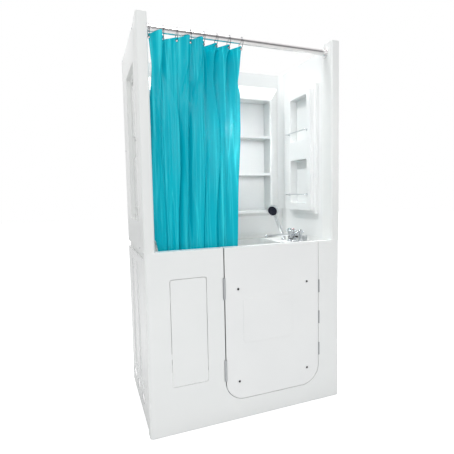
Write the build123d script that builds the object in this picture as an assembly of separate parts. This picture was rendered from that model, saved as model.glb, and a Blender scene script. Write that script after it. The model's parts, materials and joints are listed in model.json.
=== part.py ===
from build123d import *
import math
import os

# Walk-in bath with a front door, a three-wall shower surround and a curtain.
# Millimetres. X runs to the right, Y to the back and Z up. The origin is on the floor, under the
# middle of the whole piece. Heights are from the floor, and places from front to back are given
# as a distance behind the front face, through behind().

# Driving dimensions
width = 1220.0
depth = 720.0
deck_height = 980.0
rim_rise = 40.0
rim_depth = 50.0
wall_top = 2222.0
wall_thickness = 37.0
post_rise = 18.0
post_width = 58.0
post_depth = 105.0
skin = 4.0
floor_sheet = 5.0
contact_gap = 0.3
overrun = 10.0

# Door, placed from the right-hand side
door_width = 628.0
door_margin = 155.0
door_bottom = 120.0
door_corner = 120.0
door_gap = 3.0
seal_deep = 5.0
hinge_barrel_radius = 7.0

# Basin, placed by the width of the deck around it
left_deck, right_deck, back_deck = 120.0, 235.0, 80.0
drain_inset = 75.0

half = width / 2
front_y = -(depth - hinge_barrel_radius) / 2
back_y = front_y + depth
deck_under = deck_height - floor_sheet
rim_height = deck_height + rim_rise
post_top = wall_top + post_rise
door_right = half - door_margin
door_left = door_right - door_width
door_height = rim_height - door_bottom
wall_front = rim_depth - floor_sheet
frame_floor = wall_front - skin
door_body_depth = frame_floor - seal_deep
basin_left, basin_right = left_deck - half, half - right_deck
basin_back = depth - back_deck
drain_x = basin_right - drain_inset


def behind(distance):
    return front_y + distance


def block(x0, x1, y0, y1, z0, z1):
    """A box between two corners."""
    return Pos((x0 + x1) / 2, (y0 + y1) / 2, (z0 + z1) / 2) * Box(
        abs(x1 - x0), abs(y1 - y0), abs(z1 - z0)
    )


def facing_y(x0, x1, y0, y1, z0, z1, radius):
    """A plate with rounded corners in its X-Z outline."""
    plane = Plane(origin=((x0 + x1) / 2, y1, (z0 + z1) / 2), x_dir=(1, 0, 0), z_dir=(0, -1, 0))
    return extrude(plane * RectangleRounded(x1 - x0, z1 - z0, radius), amount=y1 - y0)


def facing_x(x0, x1, y0, y1, z0, z1, radius):
    """A plate with rounded corners in its Y-Z outline."""
    plane = Plane(origin=(x0, (y0 + y1) / 2, (z0 + z1) / 2), x_dir=(0, 1, 0), z_dir=(1, 0, 0))
    return extrude(plane * RectangleRounded(y1 - y0, z1 - z0, radius), amount=x1 - x0)


def facing_z(x0, x1, y0, y1, z0, z1, radius):
    """A prism with rounded corners in its X-Y outline."""
    plane = Plane(origin=((x0 + x1) / 2, (y0 + y1) / 2, z0))
    return extrude(plane * RectangleRounded(x1 - x0, y1 - y0, radius), amount=z1 - z0)


def rod_x(x0, x1, y, z, radius):
    plane = Plane(origin=(x0, y, z), x_dir=(0, 1, 0), z_dir=(1, 0, 0))
    return extrude(plane * Circle(radius), amount=x1 - x0)


def rod_y(x, y0, y1, z, radius):
    plane = Plane(origin=(x, y1, z), x_dir=(1, 0, 0), z_dir=(0, -1, 0))
    return extrude(plane * Circle(radius), amount=y1 - y0)


def rod_z(x, y, z0, z1, radius):
    return extrude(Plane(origin=(x, y, z0)) * Circle(radius), amount=z1 - z0)


def mirrored(shape):
    return mirror(shape, about=Plane.YZ)


def group(shapes):
    return Compound(children=[solid for shape in shapes for solid in shape.solids()])


os.makedirs("parts", exist_ok=True)


def write(name, shape):
    export_step(shape, f"parts/{name}.step")


# Base frame and feet
tube = 40.0
frame_low = 85.0
frame_high = frame_low + tube
frame_inset = 40.0
foot_radius = 25.0
foot_thickness = 10.0
foot_stem = 6.0
stem_clearance = 0.05
nut_radius = 10.0
nut_height = 8.0

cross_shares = (-0.18, 0.22)
cross_beside_drain = 64.8

well_floor = frame_high + floor_sheet
frame_x = half - frame_inset
frame_front = behind(rim_depth)
frame_back = back_y - frame_inset
cross_places = [share * frame_x for share in cross_shares] + [drain_x + cross_beside_drain]


def make_support_frame():
    frame = block(-frame_x, frame_x, frame_front, frame_back, frame_low, frame_high)
    frame -= block(
        tube - frame_x, frame_x - tube, frame_front + tube, frame_back - tube,
        frame_low - overrun, frame_high + overrun,
    )
    for middle in cross_places:
        frame += block(
            middle - tube / 2, middle + tube / 2, frame_front + tube, frame_back - tube,
            frame_low, frame_high,
        )
    for side in (-1, 1):
        for y in (frame_front, frame_back - tube):
            frame += block(
                side * frame_x, side * (frame_x - tube), y, y + tube, frame_high, deck_under
            )
    return frame


foot_places = [
    (x, y)
    for x in (tube / 2 - frame_x, 0.0, frame_x - tube / 2)
    for y in (frame_front + tube / 2, frame_back - tube / 2)
]


def make_foot(x, y):
    pad = rod_z(x, y, 0, foot_thickness, foot_radius)
    pad = chamfer(pad.faces().sort_by(Axis.Z)[-1].edges(), foot_thickness / 4)
    return pad + rod_z(x, y, foot_thickness / 2, frame_low, foot_stem)


def make_foot_nut(x, y):
    outline = Plane(origin=(x, y, frame_low - nut_height)) * RegularPolygon(nut_radius, 6)
    nut = extrude(outline, amount=nut_height)
    return nut - rod_z(
        x, y, frame_low - nut_height - overrun, frame_low + overrun, foot_stem + stem_clearance
    )


feet = [make_foot(x, y) for x, y in foot_places]
foot_nuts = [make_foot_nut(x, y) for x, y in foot_places]
write("support_frame", make_support_frame())
write("levelling_feet", group(feet + foot_nuts))

# Bath shell: deck, seat and foot well in one moulding
basin_corner = 60.0
seat_height = 440.0
seat_long = 360.0
seat_edge = basin_left + seat_long
opening_margin = 94.0
sill_height = 165.0
drain_y = behind((rim_depth + basin_back) / 2)
drain_radius = 25.0
opening_left = door_left + opening_margin
opening_right = door_right - opening_margin
skirt_corner = 20.0

# Deck fittings, in a row on the right end of the deck, with places behind the front face
fitting_inset = 120.0
dock_place, cold_place, hot_place = 500.0, 415.0, 365.0
spout_place, diverter_place, knob_place = 322.0, 268.0, 213.0
fitting_x = half - fitting_inset
dock_y, cold_y, hot_y = behind(dock_place), behind(cold_place), behind(hot_place)
spout_y, diverter_y, knob_y = behind(spout_place), behind(diverter_place), behind(knob_place)
fitting_places = [dock_y, cold_y, hot_y, spout_y, diverter_y, knob_y]
fitting_hole = 9.0
spare_inset = 20.0
spare_place = 334.0
cap_x, cap_y = basin_right + spare_inset, behind(spare_place)
deck_hole_places = [(fitting_x, y) for y in fitting_places] + [(cap_x, cap_y)]


def basin_prism(grow, low, high, left):
    """The basin's outline from one height to another, grown by the sheet's thickness."""
    return facing_z(
        left - grow, basin_right + grow, behind(rim_depth - grow), behind(basin_back + grow),
        low, high, basin_corner + grow,
    )


def rim_corner_cut():
    """What the right-hand front corner of the rim loses, so that it fits in the rounded skirt."""
    cut = block(
        half - skirt_corner, half + overrun, behind(-overrun), behind(skirt_corner),
        deck_under - overrun, rim_height + overrun,
    )
    return cut - rod_z(
        half - skirt_corner, behind(skirt_corner), deck_under - 2 * overrun,
        rim_height + 2 * overrun, skirt_corner - skin - contact_gap,
    )


def make_tub_shell():
    shell = block(-half, half, behind(skin), back_y, deck_under, deck_height)
    rim = block(-half, half, behind(skin), behind(rim_depth), deck_under, rim_height)
    rim -= block(
        skin - half, half - skin, behind(0), behind(wall_front),
        deck_under - overrun, rim_height - floor_sheet,
    )
    shell -= block(
        skin - half, half - skin, behind(0), behind(wall_front),
        deck_under - overrun, deck_height + overrun,
    )
    shell += rim
    shell -= rim_corner_cut()
    shell -= mirrored(rim_corner_cut())
    shell += basin_prism(floor_sheet, seat_height - floor_sheet, deck_height, basin_left)
    shell += basin_prism(floor_sheet, frame_high, seat_height, seat_edge)
    shell -= basin_prism(0, seat_height, deck_height + overrun, basin_left)
    shell -= basin_prism(0, well_floor, seat_height + overrun, seat_edge)
    shell -= block(
        opening_left, opening_right, behind(-overrun), behind(rim_depth + overrun),
        sill_height, rim_height + overrun,
    )
    shell -= block(
        door_left - skin, door_right + skin, behind(-overrun), behind(wall_front),
        door_bottom - skin, rim_height + overrun,
    )
    shell -= rod_z(drain_x, drain_y, frame_low, well_floor + overrun, drain_radius)
    for x, y in deck_hole_places:
        shell -= rod_z(x, y, deck_under - overrun, deck_height + overrun, fitting_hole)
    return shell


write("tub_shell", make_tub_shell())

# Front skirt, with the door's opening and the access panel's opening
skirt_low = 3.0
skirt_return = 60.0
access_side_shares = (0.295, 0.767)
access_low = 269.0
access_head = 152.0
access_corner = 14.0
access_gap = 2.0
strike_tall = 82.0
strike_wide = 9.0
strike_shares = (0.241, 0.467, 0.687)
hinge_tall = 124.0
hinge_shares = (0.21, 0.741)
notch_clearance = 1.5
access_left, access_right = [share * (door_left + half) - half for share in access_side_shares]
access_high = rim_height - access_head
strike_heights = [door_bottom + share * door_height for share in strike_shares]
hinge_heights = [door_bottom + share * door_height for share in hinge_shares]
hinge_x = door_left + door_gap / 2
hinge_y = behind(0)


def door_outline(grow, y0, y1, top):
    """The door's shape, square at its open top and round at its bottom corners."""
    round_plate = facing_y(
        door_left - grow, door_right + grow, y0, y1,
        door_bottom - grow, top + 2 * door_corner, door_corner + grow,
    )
    keep = block(
        door_left - grow - overrun, door_right + grow + overrun, y0 - overrun, y1 + overrun,
        door_bottom - grow - overrun, top,
    )
    return round_plate & keep


def hinge_notches():
    notches = []
    for z in hinge_heights:
        low = z - hinge_tall / 2 - notch_clearance / 2
        high = z + hinge_tall / 2 + notch_clearance / 2
        notches.append(
            rod_z(hinge_x, hinge_y, low, high, hinge_barrel_radius + notch_clearance)
        )
    return notches


def strike_notches():
    return [
        block(
            door_right - overrun, door_right + strike_wide, behind(-overrun), behind(skin + overrun),
            z - strike_tall / 2, z + strike_tall / 2,
        )
        for z in strike_heights
    ]


def make_front_skirt():
    outside = facing_z(
        -half, half, behind(0), behind(2 * skirt_return), skirt_low, rim_height, skirt_corner
    )
    inside = facing_z(
        skin - half, half - skin, behind(skin), behind(2 * skirt_return + skin),
        skirt_low - overrun, rim_height + overrun, skirt_corner - skin,
    )
    skirt = outside - inside
    skirt &= block(-half, half, behind(0), behind(skirt_return), skirt_low, rim_height)
    skirt -= block(
        -half - overrun, half + overrun, behind(skirt_corner), behind(skirt_return + overrun),
        deck_under, rim_height + overrun,
    )
    skirt -= door_outline(0, behind(-overrun), behind(skin + overrun), rim_height + overrun)
    skirt -= facing_y(
        access_left, access_right, behind(-overrun), behind(skin + overrun),
        access_low, access_high, access_corner,
    )
    for notch in hinge_notches() + strike_notches():
        skirt -= notch
    return skirt


access_chamfer = 0.8
clip_wide, clip_tall, clip_deep = 24.0, 40.0, 10.0
clip_shares = (0.18, 0.82)


def make_access_panel():
    panel = facing_y(
        access_left + access_gap, access_right - access_gap, behind(0), behind(skin),
        access_low + access_gap, access_high - access_gap, access_corner - access_gap,
    )
    return chamfer(panel.faces().sort_by(Axis.Y)[0].edges(), access_chamfer)


def make_access_clips():
    """Clips on the panel's back, each with a leaf that bears on the side of the opening."""
    clips = []
    for share in clip_shares:
        z = access_low + share * (access_high - access_low)
        low, high = z - clip_tall / 2, z + clip_tall / 2
        for edge, inwards in ((access_left, 1), (access_right, -1)):
            side = edge + inwards * access_gap
            clip = block(
                side, side + inwards * clip_wide, behind(skin), behind(skin + clip_deep), low, high
            )
            clip += block(
                edge + inwards * contact_gap, side, behind(skin / 2), behind(skin + clip_deep),
                low, high,
            )
            clips.append(clip)
    return clips


write("front_skirt", make_front_skirt())
write("access_panel", group([make_access_panel()] + make_access_clips()))

# Side panels of the bath, with two pressed fields and three slots
side_low = 28.0
side_field_deep = 6.0
side_field_low = 190.0
side_field_head = 45.0
side_field_corner = 12.0
side_field_shares = ((0.16, 0.44), (0.52, 0.80))
slot_wide, slot_tall = 104.0, 50.0
slot_height = 118.0
slot_shares = (0.28, 0.56, 0.84)
side_start = behind(skirt_return)
side_span = depth - skirt_return


def make_side_panel():
    """The right-hand side panel. The left-hand one mirrors it."""
    panel = block(half - skin, half, side_start, back_y, side_low, deck_under)
    high = deck_under - side_field_head
    for front_share, back_share in side_field_shares:
        y0, y1 = side_start + front_share * side_span, side_start + back_share * side_span
        panel += facing_x(
            half - skin - side_field_deep, half - skin, y0, y1,
            side_field_low, high, side_field_corner,
        )
        panel -= facing_x(
            half - side_field_deep, half + overrun, y0 + skin, y1 - skin,
            side_field_low + skin, high - skin, side_field_corner - skin,
        )
    for share in slot_shares:
        middle = side_start + share * side_span
        panel -= facing_x(
            half - skin - overrun, half + overrun, middle - slot_wide / 2, middle + slot_wide / 2,
            slot_height - slot_tall / 2, slot_height + slot_tall / 2,
            slot_tall / 2 - contact_gap,
        )
    return panel


side_panel = make_side_panel()
write("side_panels", group([side_panel, mirrored(side_panel)]))

# Door frame: a pan behind the skirt, open at the top

def make_door_frame():
    frame = door_outline(skin, behind(skin), behind(wall_front), rim_height - floor_sheet)
    frame -= door_outline(0, behind(skin - overrun), behind(frame_floor), rim_height + overrun)
    frame -= block(
        opening_left, opening_right, behind(0), behind(wall_front + overrun),
        sill_height, rim_height + overrun,
    )
    for notch in hinge_notches() + strike_notches():
        frame -= notch
    return frame


write("door_frame", make_door_frame())

# Strikes, where the latch hooks in
lip_reach = 4.0
lip_front, lip_back = 8.0, 12.0
lip_tall = 40.0
strike_deep = 30.0


def make_strike(z):
    low, high = z - strike_tall / 2 + contact_gap, z + strike_tall / 2 - contact_gap
    strike = block(
        door_right, door_right + strike_wide - contact_gap, behind(0), behind(skin + overrun),
        low, high,
    )
    strike += block(
        door_right - contact_gap, door_right, behind(0), behind(strike_deep), low, high
    )
    strike += block(
        door_right - lip_reach, door_right, behind(lip_front), behind(lip_back),
        z - lip_tall / 2, z + lip_tall / 2,
    )
    return strike


write("latch_strikes", group([make_strike(z) for z in strike_heights]))

# Door: outer panel, inner pan, seal, caps
pad_side_shares = (0.185, 0.697)
pad_height_shares = (0.372, 0.662)
pad_corner = 10.0
pad_rise = 1.2
body_inset = 4.0
plug_gap = 4.0
plug_setback = 2.0
seal_wide = 20.0
seal_margin = 6.0
latch_share = 0.489
latch_inset = 36.0
spindle_radius = 5.0
spindle_clearance = 0.05
hook_tall = 25.0
hook_drop = 50.0
hook_front, hook_back = 14.0, 20.0
latch_travel = 30.0
slot_margin = 2.0
door_body_left = door_left + door_gap + body_inset
door_body_right = door_right - door_gap - body_inset
plug_back = rim_depth - plug_setback
latch_height = door_bottom + latch_share * door_height
latch_x = opening_right - latch_inset
hook_heights = [z - hook_drop for z in strike_heights]


def make_door_outer_panel():
    panel = door_outline(-door_gap, behind(0), behind(skin), rim_height)
    left, right = [door_left + share * door_width for share in pad_side_shares]
    low, high = [door_bottom + share * door_height for share in pad_height_shares]
    panel += facing_y(left, right, behind(-pad_rise), behind(skin), low, high, pad_corner)
    for notch in hinge_notches():
        panel -= notch
    return panel


def make_door_inner_panel():
    grow = -(door_gap + body_inset)
    pan = door_outline(grow, behind(skin), behind(door_body_depth), rim_height)
    pan -= door_outline(grow - skin, behind(0), behind(door_body_depth - skin), rim_height - skin)
    pan += block(
        opening_left + plug_gap, opening_right - plug_gap,
        behind(door_body_depth - skin), behind(plug_back), sill_height + plug_gap, rim_height,
    )
    pan -= block(
        opening_left + plug_gap + skin, opening_right - plug_gap - skin,
        behind(door_body_depth - skin - overrun), behind(plug_back - skin),
        sill_height + plug_gap + skin, rim_height - skin,
    )
    pan -= rod_y(
        latch_x, behind(0), behind(plug_back + overrun), latch_height,
        spindle_radius + spindle_clearance,
    )
    for z in hook_heights:
        pan -= block(
            door_body_right - skin - overrun, door_body_right + overrun,
            behind(hook_front - slot_margin), behind(hook_back + slot_margin),
            z - slot_margin, z + hook_tall + latch_travel + slot_margin,
        )
    for notch in hinge_notches():
        pan -= notch
    return pan


def make_door_seal():
    left, right = opening_left - seal_margin, opening_right + seal_margin
    low = sill_height - seal_margin
    y0, y1 = behind(door_body_depth), behind(frame_floor - contact_gap)
    seal = block(left - seal_wide, right + seal_wide, y0, y1, low - seal_wide, rim_height - skin)
    seal -= block(left, right, y0 - overrun, y1 + overrun, low, rim_height + overrun)
    return seal


cap_inset = 86.0
cap_height_shares = (0.122, 0.73)
cap_ring_radius = 13.0
cap_hole_radius = 7.0
cap_rise = 1.5
cap_plug_rise = 2.5
cap_places = [
    (x, door_bottom + share * door_height)
    for x in (door_left + cap_inset, door_right - cap_inset)
    for share in cap_height_shares
]


def make_cap_ring(x, z):
    ring = rod_y(x, behind(-cap_rise), behind(0), z, cap_ring_radius)
    ring = chamfer(ring.faces().sort_by(Axis.Y)[0].edges(), cap_rise / 2)
    return ring - rod_y(x, behind(-cap_rise - overrun), behind(overrun), z, cap_hole_radius)


def make_cap_plug(x, z):
    plug = rod_y(x, behind(-cap_plug_rise), behind(0), z, cap_hole_radius - contact_gap)
    return chamfer(plug.faces().sort_by(Axis.Y)[0].edges(), cap_rise / 2)


write("door_outer_panel", make_door_outer_panel())
write("door_inner_panel", make_door_inner_panel())
write("door_seal", make_door_seal())
write("door_cap_rings", group([make_cap_ring(x, z) for x, z in cap_places]))
write("door_cap_plugs", group([make_cap_plug(x, z) for x, z in cap_places]))

# Hinges: two frame leaves with the outer knuckles, two door leaves with the middle one, two pins
leaf = 2.0
leaf_reach = 30.0
leaf_start = hinge_barrel_radius + notch_clearance + contact_gap
pin_radius = 3.0
pin_clearance = 0.05
knuckle_gap = 0.3
pin_head = 1.5
knuckle_tall = hinge_tall / 3


def knuckle(low, high, clearance):
    barrel = rod_z(hinge_x, hinge_y, low, high, hinge_barrel_radius)
    return barrel - rod_z(
        hinge_x, hinge_y, low - overrun, high + overrun, pin_radius + clearance
    )


def make_frame_leaf(z):
    low, high = z - hinge_tall / 2, z + hinge_tall / 2
    plate = block(door_left, door_left + leaf, behind(leaf_start), behind(leaf_reach), low, high)
    for low_end, high_end in (
        (low + pin_head, low + knuckle_tall),
        (high - knuckle_tall, high - pin_head),
    ):
        plate += block(
            door_left, door_left + leaf / 2, behind(pin_radius + leaf), behind(leaf_start),
            low_end, high_end,
        )
        plate += knuckle(low_end, high_end, pin_clearance)
    return plate


def make_door_leaf(z):
    low, high = z - hinge_tall / 2, z + hinge_tall / 2
    plate = block(
        door_body_left - leaf, door_body_left, behind(leaf_start), behind(leaf_reach), low, high
    )
    low_end, high_end = low + knuckle_tall + knuckle_gap, high - knuckle_tall - knuckle_gap
    plate += block(
        door_body_left - leaf, door_body_left, behind(0), behind(leaf_start), low_end, high_end
    )
    plate += knuckle(low_end, high_end, pin_clearance)
    plate -= rod_z(hinge_x, hinge_y, low, high, pin_radius + pin_clearance)
    return plate


def make_hinge_pin(z):
    low, high = z - hinge_tall / 2, z + hinge_tall / 2
    pin = rod_z(hinge_x, hinge_y, low, high, pin_radius)
    pin += rod_z(hinge_x, hinge_y, high - pin_head, high, hinge_barrel_radius - leaf)
    pin += rod_z(hinge_x, hinge_y, low, low + pin_head, hinge_barrel_radius - leaf)
    return pin


frame_leaves = [make_frame_leaf(z) for z in hinge_heights]
pins = [make_hinge_pin(z) for z in hinge_heights]
write("hinge_frame_leaves", group(frame_leaves + pins))
write("hinge_door_leaves", group([make_door_leaf(z) for z in hinge_heights]))

# Latch: a lever inside the bath turns a wheel that lifts a bar with three hooks
bar_wide = 6.0
bar_over = 12.0
bar_low, bar_high = hook_heights[0] - bar_over, hook_heights[-1] + hook_tall + bar_over
wheel_radius = latch_travel / (math.pi / 2)
hook_reach = 1.0
rosette_radius = 24.0
rosette_thickness = 6.0
lever_length = 120.0
lever_wide = 20.0
lever_thickness = 12.0
lever_standoff = 26.0


def make_latch_bar():
    bar_x = latch_x + wheel_radius + contact_gap
    bar = block(
        bar_x, bar_x + bar_wide, behind(hook_front), behind(hook_back), bar_low, bar_high
    )
    for z in hook_heights:
        bar += block(
            bar_x, door_right - hook_reach, behind(hook_front), behind(hook_back),
            z, z + hook_tall,
        )
    return bar


def make_latch_handle():
    face = plug_back + rosette_thickness
    handle = rod_y(latch_x, behind(hook_front), behind(face + lever_standoff), latch_height,
                   spindle_radius)
    handle += rod_y(latch_x, behind(hook_front), behind(hook_back), latch_height, wheel_radius)
    lever = facing_y(
        latch_x - lever_length, latch_x + lever_wide / 2,
        behind(face + lever_standoff - lever_thickness), behind(face + lever_standoff),
        latch_height - lever_wide / 2, latch_height + lever_wide / 2, lever_wide / 2 - contact_gap,
    )
    return handle + lever


def make_latch_rosette():
    rosette = rod_y(
        latch_x, behind(plug_back), behind(plug_back + rosette_thickness), latch_height,
        rosette_radius,
    )
    rosette = chamfer(rosette.faces().sort_by(Axis.Y)[-1].edges(), rosette_thickness / 3)
    return rosette - rod_y(
        latch_x, behind(0), behind(plug_back + rosette_thickness + overrun), latch_height,
        spindle_radius + spindle_clearance,
    )


write("latch_bar", make_latch_bar())
write("latch_handle", make_latch_handle())
write("latch_rosette", make_latch_rosette())

# Waste: body, plug, pipe and overflow cover
waste_flange = 36.0
waste_lip = 3.0
waste_wall = 2.0
waste_tail = 70.0
plug_radius = 19.0
plug_thickness = 5.0
plug_stem = 3.0
plug_lift = 12.0
guide_height = 6.0
guide_clearance = 0.05
pipe_radius = 21.0
pipe_wall = 2.5
pipe_height = 46.0
spigot_radius = 20.5
spigot_long = 50.0
spigot_neck_radius = 19.8
spigot_neck_long = 3.0
overflow_radius = 36.0
overflow_thickness = 8.0
overflow_drop = 80.0


def make_drain_body():
    bore = drain_radius - contact_gap - waste_wall
    body = rod_z(drain_x, drain_y, well_floor, well_floor + waste_lip, waste_flange)
    body = chamfer(body.faces().sort_by(Axis.Z)[-1].edges(), waste_lip / 2)
    body += rod_z(drain_x, drain_y, waste_tail, well_floor + waste_lip / 2,
                  drain_radius - contact_gap)
    body -= rod_z(drain_x, drain_y, waste_tail - overrun, well_floor + overrun, bore)
    guide = block(
        drain_x - bore - waste_wall / 2, drain_x + bore + waste_wall / 2,
        drain_y - 2 * plug_stem, drain_y + 2 * plug_stem, waste_tail, waste_tail + guide_height,
    )
    body += guide
    return body - rod_z(
        drain_x, drain_y, waste_tail - overrun, waste_tail + guide_height + overrun,
        plug_stem + guide_clearance,
    )


def make_drain_plug():
    plug = rod_z(drain_x, drain_y, well_floor - plug_thickness, well_floor, plug_radius)
    plug = fillet(plug.faces().sort_by(Axis.Z)[-1].edges(), plug_thickness / 3)
    return plug + rod_z(
        drain_x, drain_y, waste_tail - plug_lift, well_floor - plug_thickness, plug_stem
    )


def make_waste_pipe():
    """Drop under the waste, a bend, and a run to a spigot at the back."""
    centre = (drain_x, drain_y, pipe_height)
    end_y = back_y - skin
    spigot_y = end_y - spigot_long
    neck_y = spigot_y - spigot_neck_long
    outside = rod_z(drain_x, drain_y, pipe_height, waste_tail, pipe_radius)
    outside += rod_y(drain_x, drain_y, neck_y, pipe_height, pipe_radius)
    outside += rod_y(drain_x, neck_y, spigot_y, pipe_height, spigot_neck_radius)
    outside += rod_y(drain_x, spigot_y, end_y, pipe_height, spigot_radius)
    outside += Pos(*centre) * Sphere(pipe_radius)
    bore = pipe_radius - pipe_wall
    inside = rod_z(drain_x, drain_y, pipe_height, waste_tail + overrun, bore)
    inside += rod_y(drain_x, drain_y, end_y + overrun, pipe_height, bore)
    inside += Pos(*centre) * Sphere(bore)
    return outside - inside


def make_overflow_cover():
    cover = rod_x(
        basin_right - overflow_thickness, basin_right, drain_y, deck_height - overflow_drop,
        overflow_radius,
    )
    return fillet(cover.faces().sort_by(Axis.X)[0].edges(), overflow_thickness / 2)


write("drain_body", make_drain_body())
write("drain_plug", make_drain_plug())
write("waste_pipe", make_waste_pipe())
write("overflow_cover", make_overflow_cover())

# Deck fittings
base_radius = 20.0
base_thickness = 5.0
stem_radius = 8.0
valve_radius = 13.0
valve_tall = 55.0
valve_tail = 60.0
inlet_radius = 7.0
neck_radius = 6.0
neck_long = 3.0
base_top = deck_height + base_thickness
valve_top = base_top + valve_tall
handle_low = valve_top + contact_gap
handle_hub = 15.0
handle_tall = 26.0
grip_radius = 4.5
grip_length = 34.0
index_radius = 9.0
index_thickness = 2.5
nut_outer = 17.0
nut_thick = 8.0
shank_end = deck_under - nut_thick - neck_long


def make_base(y):
    base = rod_z(fitting_x, y, deck_height, base_top, base_radius)
    base = fillet(base.faces().sort_by(Axis.Z)[-1].edges(), base_thickness / 2)
    return base - rod_z(fitting_x, y, deck_height - overrun, base_top + overrun, stem_radius)


def make_valve(y, top):
    """A valve body on its base, with a shank through the deck, an inlet below and a stem bore."""
    valve = rod_z(fitting_x, y, base_top, top, valve_radius)
    valve += rod_z(fitting_x, y, shank_end, base_top, stem_radius)
    valve += rod_z(fitting_x, y, shank_end - neck_long, shank_end, neck_radius)
    valve += rod_z(
        fitting_x, y, deck_height - valve_tail, shank_end - neck_long, inlet_radius
    )
    return valve - rod_z(
        fitting_x, y, top - 2 * stem_radius, top + overrun, stem_radius / 2 + stem_clearance
    )


def make_locknut(y):
    nut = rod_z(fitting_x, y, deck_under - nut_thick, deck_under, nut_outer)
    return nut - rod_z(fitting_x, y, deck_under - nut_thick - overrun, deck_under + overrun,
                       stem_radius)


def make_cross_handle(y):
    hub = rod_z(fitting_x, y, handle_low, handle_low + handle_tall, handle_hub)
    hub = fillet(hub.faces().sort_by(Axis.Z)[-1].edges(), index_thickness)
    middle = handle_low + handle_tall / 2
    hub += rod_z(
        fitting_x, y, handle_low - 2 * stem_radius + contact_gap, handle_low, stem_radius / 2
    )
    reach = math.sqrt(grip_length ** 2 / 2)
    for side_x, side_y in ((1, 1), (1, -1), (-1, 1), (-1, -1)):
        tip = Vector(fitting_x + side_x * reach / 2, y + side_y * reach / 2, middle)
        root = Vector(fitting_x, y, middle)
        spoke = extrude(Plane(origin=root, z_dir=tip - root) * Circle(grip_radius),
                        amount=grip_length / 2 + grip_radius)
        hub += spoke
        hub += Pos(*(root + (tip - root).normalized() * (grip_length / 2 + grip_radius))) * Sphere(
            grip_radius
        )
    return hub


def make_index(y):
    low = handle_low + handle_tall
    button = rod_z(fitting_x, y, low, low + index_thickness, index_radius)
    return fillet(button.faces().sort_by(Axis.Z)[-1].edges(), index_thickness / 2)


bases = [make_base(y) for y in fitting_places]
locknuts = [make_locknut(y) for y in fitting_places]
write("fitting_bases", group(bases + locknuts))
write("cold_handle", make_cross_handle(cold_y))
write("hot_handle", make_cross_handle(hot_y))
write("diverter_handle", make_cross_handle(diverter_y))
write("cold_index", make_index(cold_y))
write("hot_index", make_index(hot_y))
write("diverter_index", make_index(diverter_y))

# Spout: a post with a swivelling pipe over the basin and a flow knob on its front
spout_post_tall = 38.0
spout_pipe_rise = 10.0
spout_reach = 232.0
spout_radius = 7.5
spout_collar = 15.0
spout_ball = 12.0
spout_bore = 6.0
flow_rise = 16.0
flow_radius = 15.0
flow_long = 20.0
flow_lever = 42.0
flow_lever_radius = 4.0
flow_stem = 5.0
flow_heading = 45.0
spout_post_top = base_top + spout_post_tall
spout_pipe_height = spout_post_top + spout_pipe_rise
flow_height = base_top + flow_rise
flow_place = Pos(fitting_x, spout_y, 0) * Rot(0, 0, -flow_heading) * Pos(-fitting_x, -spout_y, 0)


def make_spout_post():
    return make_valve(spout_y, spout_post_top) - flow_place * rod_y(
        fitting_x, spout_y - valve_radius - overrun, spout_y - stem_radius,
        flow_height, flow_stem + stem_clearance,
    )


def make_spout():
    low = spout_post_top + contact_gap
    spout = rod_z(fitting_x, spout_y, low, spout_pipe_height + spout_collar, spout_collar)
    spout = fillet(spout.faces().sort_by(Axis.Z)[-1].edges(), spout_collar / 3)
    spout += rod_z(fitting_x, spout_y, low - stem_radius, low, stem_radius / 2)
    tip_x = fitting_x - spout_reach
    spout += rod_x(tip_x, fitting_x, spout_y, spout_pipe_height, spout_radius)
    spout += Pos(tip_x, spout_y, spout_pipe_height) * Sphere(spout_ball)
    spout += rod_z(tip_x, spout_y, spout_pipe_height - spout_ball - spout_bore / 2,
                   spout_pipe_height, spout_radius)
    return spout - rod_z(tip_x, spout_y, spout_pipe_height - 2 * spout_ball, spout_pipe_height,
                         spout_bore)


def make_flow_knob():
    face_y = spout_y - valve_radius - contact_gap
    knob = rod_y(fitting_x, face_y - flow_long, face_y, flow_height, flow_radius)
    knob = fillet(knob.faces().sort_by(Axis.Y)[0].edges(), flow_radius / 5)
    knob += rod_y(fitting_x, face_y, spout_y - stem_radius - contact_gap, flow_height, flow_stem)
    return flow_place * knob


def make_flow_lever():
    face_y = spout_y - valve_radius - contact_gap
    y = face_y - flow_long / 2
    lever = rod_x(
        fitting_x - flow_lever, fitting_x - flow_radius + contact_gap, y, flow_height,
        flow_lever_radius,
    )
    lever += Pos(fitting_x - flow_lever, y, flow_height) * Sphere(flow_lever_radius)
    knob = rod_y(fitting_x, face_y - flow_long, face_y, flow_height, flow_radius)
    return flow_place * (lever - knob)


write("spout", make_spout())
write("flow_knob", make_flow_knob())
write("flow_lever", make_flow_lever())

# Drain control knob on the deck, and the cap over a spare hole
control_radius = 16.0
control_tall = 30.0
control_rise = 20.0
grip_count = 12
grip_cut = 2.0
cap_radius = 14.0
cap_height = 4.0


def make_drain_control():
    low = base_top + control_rise
    knob = rod_z(fitting_x, knob_y, low, low + control_tall, control_radius)
    knob = fillet(knob.faces().sort_by(Axis.Z)[-1].edges(), control_radius / 4)
    for step in range(grip_count):
        angle = 2 * math.pi * step / grip_count
        knob -= rod_z(
            fitting_x + control_radius * math.cos(angle), knob_y + control_radius * math.sin(angle),
            low - overrun, low + control_tall - control_radius / 2, grip_cut,
        )
    return knob + rod_z(fitting_x, knob_y, low - stem_radius, low, stem_radius / 2)


def make_deck_cap():
    cap = rod_z(cap_x, cap_y, deck_height, deck_height + cap_height, cap_radius)
    cap = fillet(cap.faces().sort_by(Axis.Z)[-1].edges(), cap_height / 2)
    return cap + rod_z(cap_x, cap_y, deck_under - cap_height, deck_height,
                       fitting_hole - contact_gap)


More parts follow.
